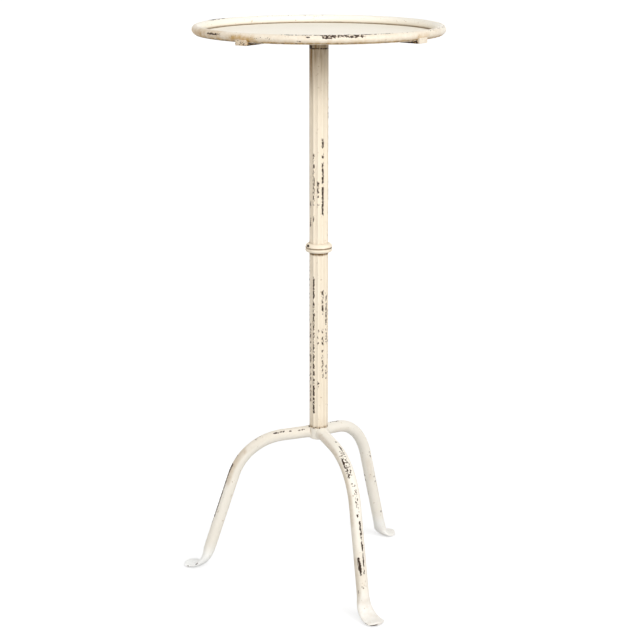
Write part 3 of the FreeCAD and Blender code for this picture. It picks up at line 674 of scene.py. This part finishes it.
rings = {
    "beadSteps": 10,
    "baseGlaze": 0.06, "rootGlaze": 0.24, "rootReach": 1.2, "seamLine": (0.95, 0.4, 1.4),
    # bearing from the front, spread, low and high from the seam, amount
    "lowerChips": [(64, 14, -1, 0, 0.8), (160, 30, -5, -1, 0.7)],
    "upperChips": [(-57, 13, 2, 4.4, 1), (66, 16, 0, 0.6, 0.8), (120, 25, 1, 5, 0.7)],
    "baseWear": 0.2, "chipCore": 0.5, "chipFade": 0.5,
}


def makeRing(name, node, centre, radius, start, end, chips):
    low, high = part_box(node)
    outline = [(columnRadius, low.z / mm)]
    if start == 0:
        outline.append((high.x / mm, low.z / mm))
    for k in range(rings["beadSteps"] + 1):
        a = math.radians(start + (end - start) * k / rings["beadSteps"])
        outline.append((centre[0] + radius * math.cos(a), centre[1] + radius * math.sin(a)))
    outline += [(columnRadius, high.z / mm), (columnRadius, low.z / mm)]
    bm = bmesh.new()
    lathe(bm, outline, turnedSides)
    ring = makePiece(bm, name, columnPaint, node, 50)

    def ringGlaze(i, p):
        root = fade(fromAxis(p) - columnRadius, rings["rootGlaze"], 0, rings["rootReach"])
        return max(fade(abs(p.z - seam), *rings["seamLine"]), rings["baseGlaze"] + root)

    def ringWear(i, p):
        worn = rings["baseWear"]
        for turn, spread, low, high, amount in chips:
            run = stripe(p.z - seam, amount, low, high, rings["chipFade"])
            off = abs(turnFrom(ridgeTurn(p), turn))
            worn = max(worn, fade(off, run, spread * rings["chipCore"], spread))
        return worn

    paintMask(ring, "glazeAndShade", ringGlaze)
    paintMask(ring, "wearAndShade", ringWear)


ringLow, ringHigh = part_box("lower_ring")
bead = (ringHigh.z - ringLow.z) / 2 / mm
beadCentre = (ringHigh.x / mm - bead, ringLow.z / mm + bead)
makeRing("ringLower", "lower_ring", beadCentre, bead, -90, 90, rings["lowerChips"])
ringLow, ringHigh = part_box("upper_ring")
bead = ringHigh.x / mm - columnRadius
beadCentre = (columnRadius, ringHigh.z / mm - bead)
makeRing("ringUpper", "upper_ring", beadCentre, bead, 0, 90, rings["upperChips"])

# hub that the legs meet

hub = {
    "boreRadius": 4.2, "sinkRadius": 7.6, "sinkDepth": 3.4, "chamfer": 0.6, "edgeRound": 0.4,
    "lowRing": 6, "topRing": 1.5,  # extra rings over the foot and under the top
    # the hub's top darkening is glaze along the seam under the column
    "topWear": (0.66, -2.2, -0.7), "topDarkening": (0.5, -1.9, -0.2),
}
foot, top = hubLow.z / mm, hubHigh.z / mm
makeTurned(
    "legHub", "hub",
    [(hub["boreRadius"], top), (hub["boreRadius"], foot + hub["sinkDepth"]), (hub["sinkRadius"], foot),
     (columnRadius - hub["chamfer"], foot), (columnRadius, foot + hub["chamfer"]),
     (columnRadius, foot + hub["lowRing"]), (columnRadius, top - hub["topRing"]),
     (columnRadius, top), (hub["boreRadius"], top)],
    lambda i, p: rise(p.z - hubTop, *hub["topWear"]), lambda i, p: rise(p.z - hubTop, *hub["topDarkening"]),
    legPaint, hub["edgeRound"])

# legs

leg = {
    "bar": 15, "level": 195.7, "droop": 9.48, "reach": 94.45, "kneeRadius": 83.2, "splay": 17.95,
    "hubSink": 2, "weldFlare": 0.6, "weldReach": (1.5, 8), "sides": 60,
    "footStart": 32, "paddleWidth": 26, "paddleThick": 6, "lift": 0.8, "soleCut": 0.5,
    "heelWidth": 0.68, "heelThick": 0.84,  # shares of the paddle's width and of the bar
    "rings": {"arm": 24, "knee": 60, "shin": 70, "heel": 8, "bend": 20, "paddle": 16},
    "baseWear": 0.12, "soleWear": (0.62, 0.5, 2.2),
    # distance along from and to, angle round the bar (0 outer side), spread, amount
    "chips": {
        "left": [
            (0, 2, 16, 30, 0.8), (5, 16, 50, 14, 0.66), (24.5, 26.5, 46, 12, 0.84),
            (34, 47, 44, 14, 0.9), (62, 72, 20, 20, 0.5), (100, 104, 14, 16, 0.72),
            (113, 119, 24, 24, 0.96), (119, 190, 20, 24, 0.86), (190, 205, 14, 20, 0.6),
            (257, 260, 78, 16, 0.84), (263, 268, 84, 14, 0.62), (270, 277, 84, 16, 0.76),
            (20, 60, -60, 26, 0.62), (120, 184, -84, 24, 0.66),
        ],
        "front": [
            (38, 39.5, 1, 12, 0.84), (48, 55, 3, 14, 0.84), (62, 94, -35, 28, 0.68),
            (68, 77, -41, 14, 0.96), (56, 92, -8, 32, 0.6), (86, 89, -9, 12, 0.78),
            (100, 103, -26, 14, 0.8), (102, 134, -4, 24, 0.6), (137, 140, -10, 14, 0.9),
            (146, 157, 5, 18, 0.87), (157, 182, 9, 16, 0.82), (184, 210, 8, 14, 0.8),
            (190, 204, -38, 20, 0.93), (196, 211, -27, 16, 0.92), (217, 219, 16, 14, 0.66),
            (224.5, 227, -22, 16, 0.88), (230, 232, -70, 14, 0.8), (280.2, 283, -108, 26, 1.0),
            (272.5, 276, -88, 12, 0.84), (70, 130, 124, 26, 0.62), (168, 212, 150, 24, 0.68),
        ],
        "rear": [
            (12, 34, 0, 26, 0.7), (121, 133, -90, 16, 0.62), (162, 164, -94, 14, 0.7),
            (169.5, 172, -94, 14, 0.9), (221, 224, -92, 14, 0.78), (150, 200, 150, 24, 0.5),
            (60, 124, 24, 26, 0.68), (180, 216, 60, 24, 0.72),
        ],
    },
    # brown rubbed into the paint, and painted shade down the left side of the front leg, in the same
    # terms
    "tintsAndShade": {
        "left": [(92, 134, 44, 50, 0.42), (4, 84, 30, 90, 0.14)],
        "front": [
            (10, 78, -88, 46, 0.3), (84, 146, -86, 50, 0.34), (150, 186, -82, 54, 0.12),
            (194, 242, -82, 54, 0.3), (186, 222, -30, 60, 0.16), (150, 235, 30, 70, 0.1),
            (244, 300, -20, 300, 0.25),
        ],
        "rear": [(135, 160, -130, 40, 0.14), (20, 50, -120, 40, 0.12), (250, 300, 0, 300, 0.16)],
    },
    "markCore": 0.4, "chipFade": 2, "tintFade": 12,
}


def shares(count):  # even steps after 0, up to 1
    return [k / count for k in range(1, count + 1)]


def legStations(footTurn, footBend, paddleLength):
    # each station: place in mm, turn from the line of the leg, angle below level, width, thickness
    droop, splay, toe = math.radians(leg["droop"]), math.radians(leg["splay"]), math.radians(footTurn)
    fall = math.pi / 2 - splay
    bar = leg["bar"]
    knee = leg["kneeRadius"]
    counts = leg["rings"]
    corner = Vector((0, leg["reach"], leg["level"] - leg["reach"] * math.tan(droop)))
    tangent = knee * math.tan((fall - droop) / 2)
    upper = Vector((0, math.cos(droop), -math.sin(droop)))
    lower = Vector((0, math.cos(fall), -math.sin(fall)))
    kneeStart, kneeEnd = corner - upper * tangent, corner + lower * tangent
    hubOut = columnRadius - leg["hubSink"]
    start = Vector((0, hubOut, leg["level"] - hubOut * math.tan(droop)))
    stations = []
    for share in [0] + shares(counts["arm"]):
        spot = start.lerp(kneeStart, share)
        swollen = bar + 2 * fade((spot - start).length, leg["weldFlare"], *leg["weldReach"])
        stations.append((spot, 0, droop, swollen, swollen))
    hinge = kneeStart - Vector((0, math.sin(droop), math.cos(droop))) * knee
    for share in shares(counts["knee"]):
        angle = droop + (fall - droop) * share
        spot = hinge + Vector((0, math.sin(angle), math.cos(angle))) * knee
        stations.append((spot, 0, angle, bar, bar))

    def onRun(height):  # the straight lower run at a height
        return Vector((0, corner.y + (corner.z - height) * math.tan(splay), height))

    for share in shares(counts["shin"]):
        stations.append((kneeEnd.lerp(onRun(leg["footStart"]), share), 0, fall, bar, bar))

    # the foot bends out level in the plane of the bar and the toe
    ahead = Vector((-math.sin(toe), math.cos(toe), 0))
    meet = lower.dot(ahead)
    bend = math.acos(meet)
    square = (ahead - lower * meet).normalized()
    wide, thin = leg["paddleWidth"], leg["paddleThick"]
    sole = thin / 2 - leg["soleCut"]
    heel = sole + footBend * math.cos(splay) * math.tan(bend / 2)
    heelWide, heelThick = wide * leg["heelWidth"], bar * leg["heelThick"]
    for share in shares(counts["heel"]):
        height = leg["footStart"] + (heel - leg["footStart"]) * share
        width = bar + (heelWide - bar) * share ** 2.2
        stations.append((onRun(height), 0, fall, width, bar + (heelThick - bar) * share ** 3))
    heelSpot = onRun(heel)
    for share in shares(counts["bend"]):
        angle = bend * share
        spot = heelSpot + (lower * math.sin(angle) + square * (1 - math.cos(angle))) * footBend
        heading = lower * math.cos(angle) + square * math.sin(angle)
        width = heelWide + (wide - heelWide) * math.sin(share * math.pi / 2)
        thick = thin + (heelThick - thin) * (1 - share) ** 1.5
        stations.append((spot, math.atan2(-heading.x, heading.y), -math.asin(heading.z), width, thick))
    flat = stations[-1][0].copy()
    for step in shares(counts["paddle"]):
        share = 0.99 * math.sin(step * math.pi / 2)  # closer towards the tip, and just short of it
        spot = flat + ahead * paddleLength * share
        spot.z = sole + leg["lift"] * share ** 3
        width = wide * math.sqrt(1 - share ** 2.2)  # round tip, hammered thin
        thick = thin * math.sqrt(1 - 0.75 * share ** 6)
        stations.append((spot, toe, 0, width, thick))
    return stations


def stationMatrix(station):  # ring axes: X across the leg, Y its outer side, Z along the bar
    spot, turn, below, width, thick = station
    out = Vector((-math.sin(turn), math.cos(turn), 0))
    up = Vector((0, 0, 1))
    heading = out * math.cos(below) - up * math.sin(below)
    outer = out * math.sin(below) + up * math.cos(below)
    axes = Matrix((up.cross(out), outer, heading)).transposed().to_4x4()
    size = Matrix.Diagonal((width / 2 * mm, thick / 2 * mm, 1, 1))
    return Matrix.Translation(spot * mm) @ axes @ size


def makeLeg(name, node, key, turn, foot, roll):
    stations = legStations(*foot)
    bm = bmesh.new()
    alongLayer = bm.verts.layers.float.new("along")
    aroundLayer = bm.verts.layers.float.new("around")
    section = bmesh.ops.create_circle(bm, cap_ends=True, segments=leg["sides"], radius=1)
    rim = bm.edges[:]
    for v in section["verts"]:
        v[aroundLayer] = math.degrees(math.atan2(v.co.x, v.co.y))
    bmesh.ops.transform(bm, verts=section["verts"], matrix=stationMatrix(stations[0]))
    distance = 0
    for before, after in zip(stations, stations[1:]):
        distance += (after[0] - before[0]).length
        rim, moved = growRim(bm, rim)
        onwards = stationMatrix(after) @ stationMatrix(before).inverted()
        bmesh.ops.transform(bm, verts=moved, matrix=onwards)
        for v in moved:
            v[alongLayer] = distance
    bmesh.ops.holes_fill(bm, edges=rim, sides=0)
    bmesh.ops.poke(bm, faces=[f for f in bm.faces if len(f.verts) > 4])
    droop = math.radians(leg["droop"])
    pivot = Matrix.Translation((0, 0, leg["level"] * mm))
    tenon = Vector((0, math.cos(droop), -math.sin(droop)))
    rolled = pivot @ Matrix.Rotation(math.radians(roll), 4, tenon) @ pivot.inverted()
    turned = Matrix.Rotation(math.radians(turn - 90), 4, "Z")
    placed = Matrix.Translation((0, 0, ground)) @ turned @ rolled
    bmesh.ops.transform(bm, verts=bm.verts[:], matrix=placed)
    for v in bm.verts:
        v.co.z = max(v.co.z, ground)  # sole dressed flat
    closeUp(bm)
    piece = makePiece(bm, name, legPaint, node, 50)
    along = [d.value for d in piece.data.attributes["along"].data]
    around = [d.value for d in piece.data.attributes["around"].data]

    def strongest(marks, i, soft):
        most = 0
        for start, end, side, spread, amount in marks:
            run = stripe(along[i], amount, start, end, soft)
            off = abs(turnFrom(around[i], side))
            most = max(most, fade(off, run, spread * leg["markCore"], spread))
        return most

    def legWear(i, p):
        chipped = strongest(leg["chips"][key], i, leg["chipFade"])
        return max(leg["baseWear"], chipped, fade(p.z, *leg["soleWear"]))

    def legTintsAndShade(i, p):
        return strongest(leg["tintsAndShade"][key], i, leg["tintFade"])

    paintMask(piece, "wearAndShade", legWear)
    paintMask(piece, "glazeAndShade", legTintsAndShade)


# bearing, then foot turn, bend radius and paddle length, then roll about the tenon
makeLeg("legLeft", "leg_left", "left", 175.25, (-31, 25, 8), 0)
makeLeg("legFront", "leg_front", "front", 295.25, (14, 25, 8), -3.1)
makeLeg("legRear", "leg_rear", "rear", 55.25, (-35, 12.5, 9.5), 0)

# hardware inside the column keeps its solid shape

hardware = [
    (platedSteel, ("top_stud", "joining_stud", "base_screw")),
    (millSteel, ("upper_tube_top_plug", "upper_tube_bottom_plug",
                 "lower_tube_top_plug", "lower_tube_bottom_plug")),
]
for steel, nodes in hardware:
    for node in nodes:
        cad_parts[node].data.materials.clear()
        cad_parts[node].data.materials.append(steel)
print("hardware dressed")

# floor, light and camera

studio = {
    "world": 0.4, "floorColour": "#C4C4C4", "floorHalf": 14, "floorGap": 0.0004,
    # glow of the paper where it is seen: level, then distance from the table
    "glowNear": 0.53, "glowFar": 0.83, "nearBy": 0.3, "farOff": 3.5,
    # name, place, aim, width, height, power
    "lamps": [
        ("keyRight", (1.75, -1.8, 1.1), (0, 0, -0.3), 2.0, 2.2, 52),
        ("fillLeft", (-1.9, -1.5, 0.5), (0, 0, -0.35), 1.6, 2.0, 12.5),
        ("topLeft", (-0.45, -0.1, 0.9), (-0.1, 0, -0.1), 0.9, 0.9, 1.8),
        ("front", (0.1, -2.6, 0.9), (0, 0, -0.1), 2.2, 1.0, 20),
        ("backSoft", (-0.2, 2.5, 0.0), (0, 0, -0.35), 2.4, 1.0, 8),
    ],
}


def seenRays(tree):  # 1 where the paper or sky is looked at, straight or by way of gloss and glass
    rays = addNode(tree, "ShaderNodeLightPath").outputs
    seen = addNode(tree, "ShaderNodeMath", {"operation": "MAXIMUM"}, {
        0: rays["Is Camera Ray"], 1: rays["Is Glossy Ray"]}).outputs[0]
    return addNode(tree, "ShaderNodeMath", {"operation": "MAXIMUM"}, {
        0: seen, 1: rays["Is Transmission Ray"]}).outputs[0]


# Matt white paper: the lamps fade with distance, so the far paper glows more and stays as white
floorMaterial, tree = blankMaterial("paperSweep")
place = addNode(tree, "ShaderNodeTexCoord").outputs["Object"]
away = addNode(tree, "ShaderNodeVectorMath", {"operation": "LENGTH"}, {0: place}).outputs["Value"]
level = addNode(tree, "ShaderNodeMapRange", None, {
    0: away, 1: studio["nearBy"], 2: studio["farOff"],
    3: studio["glowNear"], 4: studio["glowFar"]}).outputs[0]
glow = addNode(tree, "ShaderNodeMath", {"operation": "MULTIPLY"}, {
    0: seenRays(tree), 1: level}).outputs[0]
paper = addNode(tree, "ShaderNodeBsdfPrincipled", None, {
    "Base Color": linear(studio["floorColour"]), "Roughness": 0.9, "Specular IOR Level": 0.1,
    "Emission Color": (1, 1, 1, 1), "Emission Strength": glow}).outputs[0]
addNode(tree, "ShaderNodeOutputMaterial", None, {"Surface": paper})
bm = bmesh.new()
bmesh.ops.create_grid(bm, x_segments=1, y_segments=1, size=studio["floorHalf"])
bmesh.ops.translate(bm, verts=bm.verts[:], vec=(0, 0, ground - studio["floorGap"]))
floorMesh = bpy.data.meshes.new("studioFloor")
bm.to_mesh(floorMesh)
bm.free()
floorMesh.materials.append(floorMaterial)
studioFloor = bpy.data.objects.new("studioFloor", floorMesh)
scene.collection.objects.link(studioFloor)

world = bpy.data.worlds.new("studioWorld")
scene.world = world
world.use_nodes = True
world.node_tree.nodes.clear()
tree = world.node_tree
strength = addNode(tree, "ShaderNodeMapRange", None, {
    0: seenRays(tree), 1: 0, 2: 1, 3: studio["world"], 4: 1.0}).outputs[0]
sky = addNode(tree, "ShaderNodeBackground", None, {
    "Color": (1, 1, 1, 1), "Strength": strength}).outputs[0]
addNode(tree, "ShaderNodeOutputWorld", None, {"Surface": sky})

for name, place, aim, width, height, power in studio["lamps"]:
    lamp = bpy.data.lights.new(name, "AREA")
    lamp.shape = "RECTANGLE"
    lamp.size, lamp.size_y, lamp.energy = width, height, power
    holder = bpy.data.objects.new(name, lamp)
    holder.location = place
    holder.rotation_euler = (Vector(aim) - Vector(place)).to_track_quat("-Z", "Y").to_euler()
    scene.collection.objects.link(holder)

view = {
    "distance": 1970.4, "height": 867.65, "pitch": 14.961, "yaw": 0.046, "roll": 0.05,
    "focal": 1624.75, "frameWidth": 640,  # in pixels
    "sensor": 36,
}
lens = bpy.data.cameras.new("photoLens")
lens.sensor_fit = "HORIZONTAL"
lens.sensor_width = view["sensor"]
lens.lens = view["sensor"] * view["focal"] / view["frameWidth"]
camera = bpy.data.objects.new("photoCamera", lens)
aimed = Matrix.Rotation(math.radians(-view["yaw"]), 4, "Z")
aimed = aimed @ Matrix.Rotation(math.radians(90 - view["pitch"]), 4, "X")
aimed = aimed @ Matrix.Rotation(math.radians(view["roll"]), 4, "Z")
stand = Matrix.Translation((0, -view["distance"] * mm, view["height"] * mm + ground))
camera.matrix_world = stand @ aimed
scene.collection.objects.link(camera)
scene.camera = camera
scene.view_settings.view_transform = "Standard"
print("studio set")
